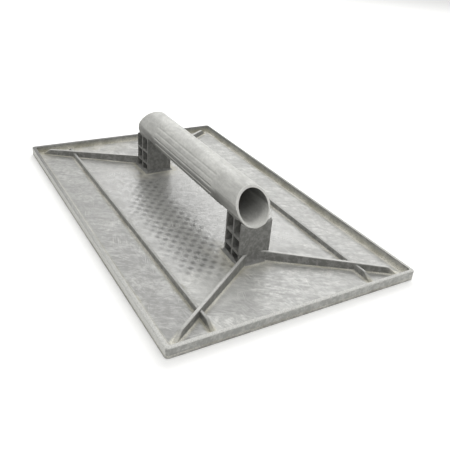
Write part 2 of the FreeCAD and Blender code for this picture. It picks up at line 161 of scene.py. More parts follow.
def dimpled_skin(first):
    """Vertices and faces of the dimpled back, as a thin closed sheet, counted on from first."""
    half_x, half_y = plate_high.x - skin_inset, plate_high.y - skin_inset
    columns, rows = round(2 * half_x / skin_step), round(2 * half_y / skin_step)
    wide = columns + 1
    verts, faces = [], []
    for row in range(rows + 1):
        for column in range(wide):
            x = -half_x + 2 * half_x * column / columns
            y = -half_y + 2 * half_y * row / rows
            verts.append(Vector((x, y, plate_top - dimple_depth * dimple(x, y))))
    for row in range(rows):
        for column in range(columns):
            corner = row * wide + column
            faces.append((corner, corner + 1, corner + wide + 1, corner + wide))
    border = list(range(columns))
    border += [row * wide + columns for row in range(rows)]
    border += [rows * wide + column for column in range(columns, 0, -1)]
    border += [row * wide for row in range(rows, 0, -1)]
    sunk = len(verts)
    verts += [verts[number] - Vector((0, 0, skin_thickness)) for number in border]
    for i, number in enumerate(border):
        j = (i + 1) % len(border)
        faces.append((number, border[j], sunk + j, sunk + i))
    faces.append(tuple(range(sunk, len(verts))))
    return verts, [tuple(first + number for number in face) for face in faces]


def build_blade():
    """The plate, sunk a little over its back like a tray, and the dimpled skin that fills it."""
    half_x, half_y = plate_high.x, plate_high.y
    tray_x, tray_y = half_x - skin_inset - skin_lap, half_y - skin_inset - skin_lap
    loops = [
        rounded_loop(tray_x, tray_y, corner_radius, plate_top - tray_depth),
        rounded_loop(tray_x, tray_y, corner_radius, plate_top),
        rounded_loop(half_x, half_y, corner_radius, plate_top),
    ]
    for step in range(working_edge_steps + 1):
        turn = math.radians(90 * step / working_edge_steps)
        inset = working_edge_radius * (1 - math.cos(turn))
        z = working_edge_radius * (1 - math.sin(turn))
        loops.append(rounded_loop(half_x - inset, half_y - inset, corner_radius - inset, z))
    verts, faces = join_loops(loops, capped=True)
    skin_verts, skin_faces = dimpled_skin(len(verts))
    return piece_from("blade", verts + skin_verts, faces + skin_faces, ["blade_plate"])


blade = build_blade()

rim_base_width = 4.5 * mm
post_high = Vector(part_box("right_post")[1])
foot_low, foot_high = (Vector(corner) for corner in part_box("right_post_foot"))
long_rib_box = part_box("back_long_rib")
rib_line = (long_rib_box[0][1] + long_rib_box[1][1]) / 2
long_half = 151 * mm
long_base_width = 2.8 * mm
tail_end = 171 * mm
diagonal_root_y = 8.9 * mm
diagonal_length = 109.8 * mm
diagonal_base_width = 3.2 * mm
diagonal_start = Vector((post_high.x, diagonal_root_y, 0))
diagonal_crossing = Vector((long_half, rib_line, 0))
diagonal_way = (diagonal_crossing - diagonal_start).normalized()

back_from = 1 * mm
working_face_to = 0.5 * mm
drift_fade = (17 * mm, 3 * mm)
line_fade = (3.2 * mm, 1 * mm)
wide_line_fade = (4.2 * mm, 1.5 * mm)
corner_fade_x = (-140 * mm, -176 * mm)
corner_fade_y = (20 * mm, -60 * mm)

film = 0.2
strip_fade = (-72 * mm, -80 * mm)
middle_line = -4 * mm
middle_fade_x = (60 * mm, 0)
middle_fade_y = (28 * mm, 8 * mm)
smudge_middle = Vector((142 * mm, -34 * mm))
smudge_fade = (24 * mm, 6 * mm)
round_mark_middle = Vector((97 * mm, 14 * mm))
round_mark_half = Vector((25 * mm, 33 * mm))
left_end_fade = (-112 * mm, -160 * mm)

scuffed_left_fade = (96 * mm, 108 * mm)
scuffed_right_fade = (160 * mm, 125 * mm)
scuffed_front_fade = (-72 * mm, -58 * mm)
scuffed_back_fade = (-12 * mm, -30 * mm)


def distance_to_run(point, start, end):
    """Level distance from a point to a straight run."""
    run = (end - start).to_2d()
    offset = (point - start).to_2d()
    along = min(max(offset.dot(run) / run.length_squared, 0), 1)
    return (offset - run * along).length


def foot_distance(point):
    """Level distance from a point of the blade to the nearer foot."""
    out_x = max(foot_low.x - abs(point.x), abs(point.x) - foot_high.x, 0)
    out_y = max(abs(point.y) - foot_high.y, 0)
    return math.hypot(out_x, out_y)


def root_distance(point):
    """Level distance from a point of the blade to the nearest foot, rib or rim."""
    spot = Vector((abs(point.x), abs(point.y), 0))
    to_rim = min(plate_high.x - spot.x, plate_high.y - spot.y) - rim_base_width
    long_start, long_end = Vector((0, rib_line, 0)), Vector((tail_end, rib_line, 0))
    to_long = distance_to_run(spot, long_start, long_end) - long_base_width / 2
    tip = diagonal_start + diagonal_way * diagonal_length
    to_diagonal = distance_to_run(spot, diagonal_start, tip) - diagonal_base_width / 2
    return max(min(to_rim, to_long, to_diagonal, foot_distance(point)), 0)


def blade_dust(point):
    """Cement along the foot of the ribs and rim, drifted round the two feet and in the front
    left corner. It is brushed thin inside the right foot and lies wider outside it."""
    if point.z < back_from:
        return 0
    drift = max(0.5 + 0.9 * noise.noise(point * 90), 0)
    near_foot = smooth_step(*drift_fade, foot_distance(point)) * min(drift, 0.7)
    near_foot *= 0.8 if point.x > 0 else 1.1
    to_root = root_distance(point)
    line = smooth_step(*line_fade, to_root)
    if 0 < point.x < foot_low.x + 4 * mm and abs(point.y) < foot_high.y + 3 * mm:
        line *= 0.35
    if foot_high.x < point.x < foot_high.x + 8 * mm:
        line = max(line, smooth_step(*wide_line_fade, to_root))
    corner = smooth_step(*corner_fade_x, point.x) * smooth_step(*corner_fade_y, point.y)
    return max(line, near_foot, corner * min(drift, 0.9))


def blade_dirt_and_shade(point):
    """Painted shade in the dimples and under the handle, on a thin film of dirt all over, with a
    darker strip at the front, a smudge at the right end, patches at the left end and the mark of
    something round beside the right post."""
    if point.z < back_from:
        return 0
    x, y = point.x, point.y
    strip = smooth_step(*strip_fade, y) * (0.2 + 0.14 * smooth_step(0, 100 * mm, x))
    # Painted shade of the handle on the middle of the blade.
    middle = smooth_step(*middle_fade_x, x) * smooth_step(*middle_fade_y, abs(y - middle_line))
    # How much painted shade the dimples take, more towards the right.
    filled = 0.75 + 0.2 * smooth_step(20 * mm, 50 * mm, x)
    to_smudge = math.hypot(x - smudge_middle.x, (y - smudge_middle.y) * 0.8)
    smudge = smooth_step(*smudge_fade, to_smudge) * (0.5 + noise.noise(point * 130))
    mark_x = (x - round_mark_middle.x) / round_mark_half.x
    mark_y = (y - round_mark_middle.y) / round_mark_half.y
    round_mark = 0.15 * smooth_step(1.03, 0.97, math.hypot(mark_x, mark_y))
    left_end = smooth_step(*left_end_fade, x) * (0.5 + 1.6 * noise.noise(point * 110))
    patches = 0.35 * max(smudge, 0) + 0.3 * min(max(left_end, 0), 1)
    # Painted shade darkens the dimples.
    dimples = filled * dimple(x, y)
    return film + strip + round_mark + patches + dimples + 0.28 * middle * under_handle_shade_and_gloss(x, y)


def blade_wear(point):
    """The working face is rubbed bare, and a patch in front of the right post is scuffed."""
    if point.z < working_face_to:
        return 1
    x, y = point.x, point.y
    along = smooth_step(*scuffed_left_fade, x) * smooth_step(*scuffed_right_fade, x)
    across = smooth_step(*scuffed_front_fade, y) * smooth_step(*scuffed_back_fade, y)
    return 0.35 * along * across


paint(blade, "dust", blade_dust)
paint(blade, "wear_and_highlight", blade_wear)
paint(blade, "dirt_and_shade", blade_dirt_and_shade)
# Painted shadow and reflection of the handle on the blade under it, which is also glossier.
paint(blade, "handle_shade_and_gloss", lambda p: under_handle_shade_and_gloss(p.x, p.y) if p.z > back_from else 0)


def new_group(name, inputs, outputs):
    """An empty shader node group: its tree, its input node and its output node."""
    tree = bpy.data.node_groups.new(name, "ShaderNodeTree")
    for label, kind, default in inputs:
        socket = tree.interface.new_socket(label, in_out="INPUT", socket_type=kind)
        socket.default_value = default
    for label, kind in outputs:
        tree.interface.new_socket(label, in_out="OUTPUT", socket_type=kind)
    return tree, tree.nodes.new("NodeGroupInput"), tree.nodes.new("NodeGroupOutput")


def add_node(tree, kind, settings=None, values=None):
    """A node with its settings made and its inputs filled in or linked."""
    node = tree.nodes.new(kind)
    for name, setting in (settings or {}).items():
        setattr(node, name, setting)
    for name, amount in (values or {}).items():
        if isinstance(amount, bpy.types.NodeSocket):
            tree.links.new(amount, node.inputs[name])
        else:
            node.inputs[name].default_value = amount
    return node


def maths(tree, operation, first, second):
    """One sum on numbers or sockets."""
    node = add_node(tree, "ShaderNodeMath", {"operation": operation}, {0: first, 1: second})
    return node.outputs[0]


def add_shares(tree, total, *shares):
    """A total with each mask times its share added to it."""
    for mask, share in shares:
        total = maths(tree, "ADD", total, maths(tree, "MULTIPLY", mask, share))
    return total


def step_between(tree, amount, start, end):
    """0 below start and 1 above end."""
    values = {"Value": amount, "From Min": start, "From Max": end}
    node = add_node(tree, "ShaderNodeMapRange", {"interpolation_type": "SMOOTHSTEP"}, values)
    return node.outputs["Result"]


def noise_value(tree, vector, scale, detail=3.0, roughness=0.55):
    """Soft noise about 0.5."""
    values = {"Vector": vector, "Scale": scale, "Detail": detail, "Roughness": roughness}
    return add_node(tree, "ShaderNodeTexNoise", None, values).outputs["Fac"]


def turned(tree, given, angle):
    """A group's own vector turned about the vertical by its Turn and an angle."""
    turn = maths(tree, "ADD", given.outputs["Turn"], angle)
    values = {"Vector": given.outputs["Vector"], "Angle": turn}
    node = add_node(tree, "ShaderNodeVectorRotate", {"rotation_type": "Z_AXIS"}, values)
    return node.outputs[0]


def streaks(tree, place, along, across, detail, roughness=0.55):
    """Noise drawn out into streaks: along and across are how often it changes each way."""
    values = {0: place, 1: (along, across, across)}
    stretched = add_node(tree, "ShaderNodeVectorMath", {"operation": "MULTIPLY"}, values)
    return noise_value(tree, stretched.outputs[0], 1.0, detail, roughness)


def mix_colours(tree, amount, first, second):
    """From the first colour to the second by amount."""
    node = add_node(tree, "ShaderNodeMix", {"data_type": "RGBA"}, {"Factor": amount})
    colour_inputs = [s for s in node.inputs if s.type == "RGBA"]
    for socket, colour in zip(colour_inputs, (first, second)):
        if isinstance(colour, bpy.types.NodeSocket):
            tree.links.new(colour, socket)
        else:
            socket.default_value = (*colour, 1)
    return next(s for s in node.outputs if s.type == "RGBA")


def lay_over(tree, base, mask, share, colour):
    """A base colour with another laid over it where the mask is, up to a share."""
    return mix_colours(tree, maths(tree, "MULTIPLY", mask, share), base, colour)


def make_scuffs():
    """Scratches in three crossing directions, gathered in patches."""
    inputs = (
        ("Vector", "NodeSocketVector", (0, 0, 0)),
        ("Turn", "NodeSocketFloat", 0.0),
        ("Amount", "NodeSocketFloat", 0.5),
    )
    tree, given, result = new_group("scuffs", inputs, (("Mask", "NodeSocketFloat"),))
    limit = maths(tree, "SUBTRACT", 0.85, maths(tree, "MULTIPLY", given.outputs["Amount"], 0.5))
    limits = (limit, maths(tree, "ADD", limit, 0.12))
    directions = ((0.35, 32, 1500, 30), (-0.5, 45, 1900, 42), (1.3, 38, 1700, 36))
    marks = 0.0
    for angle, along, across, patch in directions:
        place = turned(tree, given, angle)
        lines = step_between(tree, streaks(tree, place, along, across, 2.0), 0.6, 0.72)
        gathered = step_between(tree, noise_value(tree, place, patch, 2.0), *limits)
        marks = maths(tree, "MAXIMUM", marks, maths(tree, "MULTIPLY", lines, gathered))
    tree.links.new(marks, result.inputs["Mask"])
    return tree


def make_clouding():
    """The uneven grey of old plastic: broad cloudy patches, small ones, a fine grain and the
    strokes of a brush in two crossing directions."""
    inputs = (
        ("Vector", "NodeSocketVector", (0, 0, 0)),
        ("Patch Scale", "NodeSocketFloat", 24.0),
        ("Turn", "NodeSocketFloat", 0.0),
    )
    outputs = [(label, "NodeSocketFloat") for label in ("Cloud", "Mottle", "Grain", "Brush")]
    tree, given, result = new_group("clouding", inputs, outputs)
    vector = given.outputs["Vector"]
    broad = noise_value(tree, vector, given.outputs["Patch Scale"], 4.0, 0.6)
    tree.links.new(step_between(tree, broad, 0.4, 0.62), result.inputs["Cloud"])
    small = noise_value(tree, vector, 230.0, 5.0, 0.72)
    tree.links.new(step_between(tree, small, 0.42, 0.62), result.inputs["Mottle"])
    tree.links.new(noise_value(tree, vector, 1400.0, 3.0, 0.7), result.inputs["Grain"])

    strokes = []
    for angle, along, across in ((0.75, 150, 620), (0, 115, 700)):
        place = turned(tree, given, angle)
        brushed = streaks(tree, place, along, across, 4.0, 0.65)
        strokes.append(step_between(tree, brushed, 0.42, 0.6))
    smudge = step_between(tree, streaks(tree, place, 42, 150, 5.0, 0.6), 0.42, 0.58)
    crossing = step_between(tree, noise_value(tree, vector, 34.0, 2.0), 0.42, 0.62)
    first = maths(tree, "MULTIPLY", strokes[0], crossing)
    second = maths(tree, "MULTIPLY", strokes[1], maths(tree, "SUBTRACT", 1.0, crossing))
    brush = add_shares(tree, 0.0, (first, 0.5), (second, 0.5), (smudge, 0.5))
    tree.links.new(brush, result.inputs["Brush"])
    return tree


scuffs = make_scuffs()
clouding = make_clouding()
cement_cream = (0.74, 0.72, 0.63)
damp_cement = (0.42, 0.4, 0.31)


def grey(level):
    """The grey of the plastic at a given lightness, a little warm."""
    return (level, level * 0.998, level * 0.945)


def float_plastic(
    name,
    upright,
    level,
    pale_from=0.5,
    pale_to=0.9,
    scuffing=0.5,
    turn=0.0,
    mottling=0.5,
    patches=24.0,
    roughness=0.3,
    shine=0.5,
):
    """Grey plastic as it has worn on one part of the float, with light and shade painted in.
    upright and level are how light it is painted where it stands upright and where it faces up,
    a painted shading by the way a face turns; pale_from and pale_to are the slopes between which
    one passes into the other."""
    material = bpy.data.materials.new(name)
    material.use_nodes = True
    tree = material.node_tree
    shader = tree.nodes["Principled BSDF"]
    place = tree.nodes.new("ShaderNodeTexCoord").outputs["Object"]
    values = {"Vector": place, "Patch Scale": patches, "Turn": -turn}
    cloud = add_node(tree, "ShaderNodeGroup", {"node_tree": clouding}, values)
    broad, mottle, grain, brush = cloud.outputs
    values = {"Vector": place, "Turn": -turn, "Amount": scuffing}
    scuff = add_node(tree, "ShaderNodeGroup", {"node_tree": scuffs}, values).outputs["Mask"]
    painted = {}
    for label in ("dust", "wear_and_highlight", "dirt_and_shade", "handle_shade_and_gloss"):
        node = add_node(tree, "ShaderNodeAttribute", {"attribute_name": label})
        painted[label] = node.outputs["Fac"]
    normal = tree.nodes.new("ShaderNodeNewGeometry").outputs["Normal"]
    # Painted light and shade: faces turned up take the level tone, upright faces the upright tone.
    painted_facing_light = add_node(tree, "ShaderNodeSeparateXYZ", None, {"Vector": normal}).outputs["Z"]
    painted_facing_light = step_between(tree, painted_facing_light, pale_from, pale_to)

    spread = 0.5 * mottling
    dark = mix_colours(tree, mottle, grey(upright * (1 - spread)), grey(upright * (1 + spread)))
    pale = mix_colours(tree, brush, grey(level * (1 - spread)), grey(level * (1 + spread)))
    shade = maths(tree, "SUBTRACT", 1.0, broad)
    pale = lay_over(tree, pale, shade, 0.6 * mottling, grey(level * 0.62))
    pale = lay_over(tree, pale, mottle, 0.85 * mottling, grey(level * 0.66))
    base = mix_colours(tree, painted_facing_light, dark, pale)
    # Painted shadow and reflection of the handle darken the blade under it.
    base = lay_over(tree, base, painted["handle_shade_and_gloss"], 0.7, grey(level * 0.8))
    # Dirt, and painted shade on the blade, rim and handle, darken the colour.
    base = lay_over(tree, base, painted["dirt_and_shade"], 0.85, grey(level * 0.26))
    # Pale wear, and painted highlights on the ribs and the handle, laid over in a light grey.
    bare = grey(min(max(level, upright) * 1.5 + 0.18, 0.8))
    patchy = add_shares(tree, 0.55, (step_between(tree, grain, 0.3, 0.6), 0.45))
    worn = maths(tree, "MULTIPLY", painted["wear_and_highlight"], patchy)
    base = lay_over(tree, base, worn, 0.85, bare)
    base = lay_over(tree, base, scuff, 0.6, bare)
    dusty = maths(tree, "MULTIPLY", painted["dust"], step_between(tree, grain, 0.32, 0.55))
    cement = mix_colours(tree, broad, cement_cream, damp_cement)
    base = lay_over(tree, base, dusty, 0.9, cement)
    tree.links.new(base, shader.inputs["Base Color"])

    rough = add_shares(
        tree,
        roughness - 0.07,
        (mottle, 0.14),
        (scuff, 0.2),
        (dusty, 0.3),
        (painted["handle_shade_and_gloss"], -0.13),
        (painted["dirt_and_shade"], 0.1),
    )
    tree.links.new(rough, shader.inputs["Roughness"])
    shader.inputs["Specular IOR Level"].default_value = shine

    height = add_shares(tree, 0.0, (grain, 0.6), (scuff, -0.5), (brush, 0.22 * mottling))
    values = {"Height": height, "Strength": 0.35, "Distance": 0.12 * mm}
    bump = add_node(tree, "ShaderNodeBump", None, values)
    tree.links.new(bump.outputs["Normal"], shader.inputs["Normal"])
    return material


blade.data.materials.append(
    float_plastic(
        "blade_plastic",
        0.36,
        0.475,
        scuffing=0.6,
        turn=0.97,
        mottling=0.78,
        roughness=0.42,
        shine=0.8,
    )
)


# --- Rim --------------------------------------------------------------------------------------
# The raised rim that stiffens the blade, moulded with it. Its inner face is drafted so that
# it leaves the mould, with a small fillet at its foot, and its top is knocked about by use.

rim_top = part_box("front_rim")[1][2]
rim_top_width = 3.5 * mm
outer_edge = 0.7 * mm
inner_edge = 0.45 * mm
back_thinning = 1 * mm
root_fillet = 1.1 * mm
rim_foot_width = rim_base_width + root_fillet
near_top = 0.3 * mm
near_end = 0.2 * mm
near_front = 0.4 * mm
inner_side_from = 1 * mm
knocked_end = 6 * mm
banked_reach = 6 * mm
banked_high = 1.2 * mm
fillet_high = 0.4 * mm


def arc_points(centre, radius, start, end, steps=4):
    """Points of a circular arc, as pairs, from one angle to another in degrees."""
    points = []
    for step in range(steps + 1):
        angle = math.radians(start + (end - start) * step / steps)
        points.append((centre[0] + radius * math.cos(angle), centre[1] + radius * math.sin(angle)))
    return points


def build_rim():
    """One section carried round the blade, with the back rail thinned from inside."""
    section = arc_points((rim_foot_width, plate_top + root_fillet), root_fillet, 270, 180)
    section += arc_points((rim_top_width - inner_edge, rim_top - inner_edge), inner_edge, 0, 90)
    section += arc_points((outer_edge, rim_top - outer_edge), outer_edge, 90, 180)
    section.append((0, plate_top))
    loops = []
    for inset, z in section:
        radius = corner_radius - inset * 0.3
        loop = rounded_loop(plate_high.x - inset, plate_high.y - inset, radius, z)
        for point in loop:
            if inset > rim_top_width / 2 and point.y > 0:
                point.y += back_thinning
        loops.append(loop)
    verts, faces = join_loops(loops, closed=True)
    rails = ["front_rim", "back_rim", "left_rim", "right_rim"]
    return piece_from("rim", verts, faces, rails)


def rim_wear(point):
    """Knocks and rubbing lighten the long front face, the top at the right end and, less, the
    right end itself."""
    from_right = plate_high.x - point.x
    if from_right < near_end:
        return 0.22
    if point.z > rim_top - near_top:
        return 0.8 if from_right < knocked_end else 0.1
    return 1 if plate_high.y + point.y < near_front else 0


def rim_shade_and_darkening(point):
    """Painted shade darkens the inner faces of the back and left rails. The back rail's top is
    darker, and so is the right end towards the front."""
    from_right, from_left = plate_high.x - point.x, plate_high.x + point.x
    from_back = plate_high.y - point.y
    if from_right < near_end:
        return 0.3 * smooth_step(0, -100 * mm, point.y)
    if point.z > rim_top - near_top:
        return 1 if from_back < rim_base_width else 0
    # Painted shade on the inner faces of the left and back rails.
    if from_left < rim_foot_width:
        return 0.55 if from_left > inner_side_from else 0
    return 0.4 if inner_side_from < from_back < rim_foot_width else 0


def rim_dust(point):
    """Cement lies in the fillet at the rim's foot, higher up it at the back and the left."""
    at_back = point.y > plate_high.y - banked_reach
    if root_distance(point) <= 0 and point.y < plate_high.y - banked_reach:
        return 0
    at_left = point.x < banked_reach - plate_high.x
    from_side, from_end = plate_high.y - abs(point.y), plate_high.x - abs(point.x)
    high = banked_high if at_back or at_left else fillet_high
    return 1 if min(from_side, from_end) > inner_side_from and point.z < plate_top + high else 0


rim = build_rim()
paint(rim, "dirt_and_shade", rim_shade_and_darkening)
paint(rim, "dust", rim_dust)
paint(rim, "wear_and_highlight", rim_wear)
rim.data.materials.append(float_plastic("rim_plastic", 0.41, 0.13, roughness=0.6))


# --- Ribs -------------------------------------------------------------------------------------
# Upright ribs of the same moulding, which carry the load from the posts to the corners and
# along the blade. Each is drafted, rounded along its top, filleted at its foot and run down to
# the blade at its tip.

rib_edge = 0.45 * mm
rib_top = long_rib_box[1][2]
long_top_drop = 0.8 * mm
long_widths = (long_base_width, 2.2 * mm)
diagonal_widths = (diagonal_base_width, 2.4 * mm)
diagonal_top = 11.8 * mm
tip_top = 3.05 * mm
tail_shoulder = 163 * mm - long_half
root_in_post = 1.2 * mm
fronts_and_backs = (("front", -1), ("back", 1))
lefts_and_rights = (("left", -1), ("right", 1))

diagonal_stations = [
    (0, diagonal_top),
    (30 * mm, 10.92 * mm),
    (60 * mm, 10.04 * mm),
    (101.4 * mm, 8.83 * mm),
    (102.6 * mm, 8.5 * mm),
    (diagonal_length, tip_top),
]
tail_stations = [
    (-1 * mm, rib_top),
    (tail_shoulder - 0.5 * mm, rib_top),
    (tail_shoulder + 0.5 * mm, rib_top - 0.3 * mm),
    (tail_end - long_half, tip_top),
]
long_stations = [(along, rib_top - long_top_drop) for along in (-long_half, 0, long_half)]


def rib_wear_and_highlight(point, root, way, stations):
    """The tops of the ribs, and the edges beside them, are pale, partly scuffed and partly a
    painted highlight.
    """
    along = (point - root).dot(way)
    top = stations[-1][1]
    for (start, start_top), (end, end_top) in zip(stations, stations[1:]):
        if along <= end:
            top = start_top + (end_top - start_top) * (along - start) / (end - start)
            break
    # Pale along the top: partly scuffing, partly painted highlight.
    return 0.38 * smooth_step(top - 1 * mm, top - 0.5 * mm, point.z)


def build_rib(name, root, angle, stations, widths, full_height, face_x=None):
    """A rib from its root, level and at an angle. stations are (distance along, height of the
    top), and widths are at the blade and at the full height. A rib that starts at a post has
    face_x, where the post's face is, and reaches a little into it."""
    way = Vector((math.cos(angle), math.sin(angle), 0))
    side = Vector((-way.y, way.x, 0))
    half_base, half_full = widths[0] / 2, widths[1] / 2
    draft = (half_base - half_full) / (full_height - plate_top)
    loops = []
    for number, (along, top) in enumerate(stations):
        rise = top - plate_top
        fillet = min(root_fillet, 0.7 * rise)
        edge = min(rib_edge, 0.3 * rise)
        half_top = half_base - draft * rise
        flank = arc_points((half_base + fillet, plate_top + fillet), fillet, 270, 180)
        flank.append((half_top + draft * 2 * edge, top - 2 * edge))
        flank += arc_points((half_top - edge, top - edge), edge, 0, 90, 3)
        section = flank + [(-offset, z) for offset, z in reversed(flank)]
        loop = []
        for offset, z in section:
            reach = along
            if number == 0 and face_x is not None:
                inside = math.copysign(face_x - root_in_post, root.x)
                reach = (inside - root.x - side.x * offset) / way.x
            point = root + way * reach + side * offset
            loop.append(Vector((point.x, point.y, z)))
        loops.append(loop)
    verts, faces = join_loops(loops, capped=True)
    rib = piece_from(name, verts, faces, [name])
    paint(rib, "dust", lambda p: 1 if p.z < plate_top + fillet_high else 0)
    paint(rib, "wear_and_highlight", lambda p: rib_wear_and_highlight(p, root, way, stations))
    return rib


for front_back, side_y in fronts_and_backs:
    for left_right, side_x in lefts_and_rights:
        name = f"{front_back}_{left_right}_diagonal_rib"
        root = Vector((side_x * diagonal_start.x, side_y * diagonal_start.y, 0))
        angle = math.atan2(side_y * diagonal_way.y, side_x * diagonal_way.x)
        rib = build_rib(
            name, root, angle, diagonal_stations, diagonal_widths, diagonal_top, post_high.x
        )
        rib.data.materials.append(
            float_plastic(f"{name}_plastic", 0.225, 0.38, scuffing=0.4, turn=angle, roughness=0.4)
        )

for front_back, side_y in fronts_and_backs:
    y = side_y * rib_line
    name = f"{front_back}_long_rib"
    rib = build_rib(name, Vector((0, y, 0)), 0, long_stations, long_widths, rib_top)
    rib.data.materials.append(
        float_plastic(f"{name}_plastic", 0.28, 0.2, scuffing=0.4, roughness=0.4)
    )
    for left_right, side_x in lefts_and_rights:
        name = f"{front_back}_{left_right}_rib_tail"
        root = Vector((side_x * long_half, y, 0))
        angle = 0 if side_x > 0 else math.pi
        tail = build_rib(name, root, angle, tail_stations, long_widths, rib_top)
        tail.data.materials.append(
            float_plastic(f"{name}_plastic", 0.24, 0.2, scuffing=0.4, roughness=0.4)
        )


# --- Posts and feet ---------------------------------------------------------------------------
# Two posts of the same moulding carry the handle. They are cored from both sides into columns
# of pockets, so that they cool without sinking, and each stands on a low foot with hollow
# sweeps.

post_low = Vector(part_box("right_post")[0])
post_edge = 0.35 * mm
shoulder_low = 36.8 * mm
shoulder_fade_out = (100 * mm, 106 * mm)
shoulder_fade_side = (9 * mm, 14 * mm)
shoulder_lift_right = 2.4 * mm
shoulder_lift_left = 1.4 * mm
front_corner = -13 * mm
front_corner_drawn_in = 0.8 * mm

foot_floor = post_low.z
foot_half_inner = 12.9 * mm
foot_corner = 0.8 * mm
foot_steps = 8
foot_sunk = 0.02 * mm
outer_sweep = 8 * mm
inner_sweep = 3.4 * mm
corner_steps = 4
run_parts = 14


def softened_copy(name, node, rounding):
    """A copy of a CAD node's mesh with its edges rounded as a mould leaves them, its outer
    shoulders carried up beside the mouth of the handle and its front corner drawn in."""
    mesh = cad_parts[node].data.copy()
    mesh.name = name
    bm = bmesh.new()
    bm.from_mesh(mesh)
    bmesh.ops.remove_doubles(bm, verts=bm.verts, dist=weld)
    bmesh.ops.dissolve_limit(
        bm, angle_limit=math.radians(0.5), verts=bm.verts[:], edges=bm.edges[:]
    )
    for vert in bm.verts:
        out, side = abs(vert.co.x), abs(vert.co.y)
        if vert.co.z > shoulder_low:
            lift = shoulder_lift_right if vert.co.x > 0 else shoulder_lift_left
            lift *= smooth_step(*shoulder_fade_side, side) * smooth_step(*shoulder_fade_out, out)
            vert.co.z += lift
        if out > post_high.x - 0.05 * mm and vert.co.y < front_corner:
            vert.co.y += front_corner_drawn_in
    bm.to_mesh(mesh)
    bm.free()
    mesh.materials.clear()
    mesh.shade_smooth()
    mesh.set_sharp_from_angle(angle=math.radians(30))
    piece = bpy.data.objects.new(name, mesh)
    bpy.context.scene.collection.objects.link(piece)
    bevel = piece.modifiers.new("rounding", "BEVEL")
    bevel.width = rounding
    bevel.segments = 2
    bevel.limit_method = "ANGLE"
    bevel.angle_limit = math.radians(40)
    bevel.harden_normals = True
    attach(piece, "root")
    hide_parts(node)
    return piece


def foot_outline(outer_x, outer_y, inner_x, inner_y):
    """Points round the foot, with small rounded corners and its straight runs divided."""
    points = []
    for x, y, first in (
        (outer_x - foot_corner, outer_y - foot_corner, 0),
        (inner_x + foot_corner, inner_y - foot_corner, 90),
        (inner_x + foot_corner, -inner_y + foot_corner, 180),
        (outer_x - foot_corner, -outer_y + foot_corner, 270),
    ):
        points += arc_points((x, y), foot_corner, first, first + 90, corner_steps)
    outline = []
    for number, start in enumerate(points):
        end = points[(number + 1) % len(points)]
        parts = run_parts if number % (corner_steps + 1) == corner_steps else 1
        for part in range(parts):
            share = part / parts
            x = start[0] + (end[0] - start[0]) * share
            outline.append((x, start[1] + (end[1] - start[1]) * share))
    return outline


def build_foot(name, node, side_x):
    """A hollow skirt from the blade up to the post: low beside the pockets, where it carries
    their floor, and swept well up the two plain faces."""
    inner_x, outer_x, half_outer = post_low.x, post_high.x, post_high.y
    middle = (inner_x + outer_x) / 2
    inner_reach, outer_reach = inner_x - foot_low.x, foot_high.x - outer_x
    side_reach = foot_high.y - half_outer
    loops = []
    for step in range(foot_steps + 1):
        turn = math.radians(90 * step / foot_steps)
        spread, climb = 1 - math.sin(turn), 1 - math.cos(turn)
        half = half_outer + side_reach * spread
        outline = foot_outline(
            outer_x + outer_reach * spread,
            half,
            inner_x - inner_reach * spread,
            foot_half_inner + side_reach * spread,
        )
        loop = []
        for x, y in outline:
            beside_pockets = smooth_step(0.9, 1.0, abs(y) / half)
            top = outer_sweep if x > middle else inner_sweep
            top += (foot_floor - plate_top - top) * beside_pockets
            loop.append(Vector((side_x * x, side_x * y, plate_top - foot_sunk + top * climb)))
        loops.append(loop)
    inside_post = []
    for point in loops[-1]:
        x = side_x * middle + (point.x - side_x * middle) * 0.94
        inside_post.append(Vector((x, point.y * 0.96, foot_floor)))
    loops.append(inside_post)
    verts, faces = join_loops(loops, capped=True)
    foot = piece_from(name, verts, faces, [node], crease=50)
    paint(foot, "dust", lambda p: 1 if p.z < plate_top + 0.12 * mm else 0)
    return foot


for left_right, side_x in lefts_and_rights:
    post = softened_copy(f"{left_right}_cored_post", f"{left_right}_post", post_edge)
    name = f"{left_right}_post_plastic"
    post.data.materials.append(
        float_plastic(name, 0.23, 0.28, mottling=0.45, patches=40, roughness=0.45)
    )
    foot = build_foot(f"{left_right}_foot", f"{left_right}_post_foot", side_x)
    name = f"{left_right}_foot_plastic"
    foot.data.materials.append(
        float_plastic(name, 0.2, 0.24, mottling=0.45, patches=40, roughness=0.4)
    )


# --- Handle -----------------------------------------------------------------------------------
# A hollow round handle with slanted open ends, moulded on the posts round a straight core. The
# grip between the posts is fluted along its flanks. Its top is painted pale as lit from above,
# and its underside dark as in shade. Over the posts its lower flanks step in.

tube_high = Vector(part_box("handle_tube")[1])
tube_radius = 16 * mm
bore_radius = 13.7 * mm
tube_axis = tube_high.z - tube_radius
tube_half = 101.2 * mm
end_slope = 0.55
grip_half = 58.5 * mm
step_start = 67 * mm
step_fade = (step_start - 0.3 * mm, step_start + 0.3 * mm)
step_depth = 0.5 * mm
ledge_high, ledge_fall = 8.5, 8
flute_angles = [45 - 20 * step for step in range(7)]
flute_half_width = 0.8 * mm
flute_depth = 0.5 * mm
flute_fade = (grip_half + 0.2 * mm, grip_half - 0.6 * mm)
flute_worn_above = 15
flute_worn_left = 0.45
lip_notch = 1.9 * mm
lip_notch_spread = 55
lip_notch_length = 4 * mm
mouth_clear = 0.15 * mm
bore_stations = [18 * mm, 10 * mm, 6 * mm, 3 * mm, 0.6 * mm, 0.02 * mm]
ring_points = 360
end_face = 0.8 * mm
lined_flutes = flute_angles[:4]
lower_fade = (2 * mm, -12 * mm)


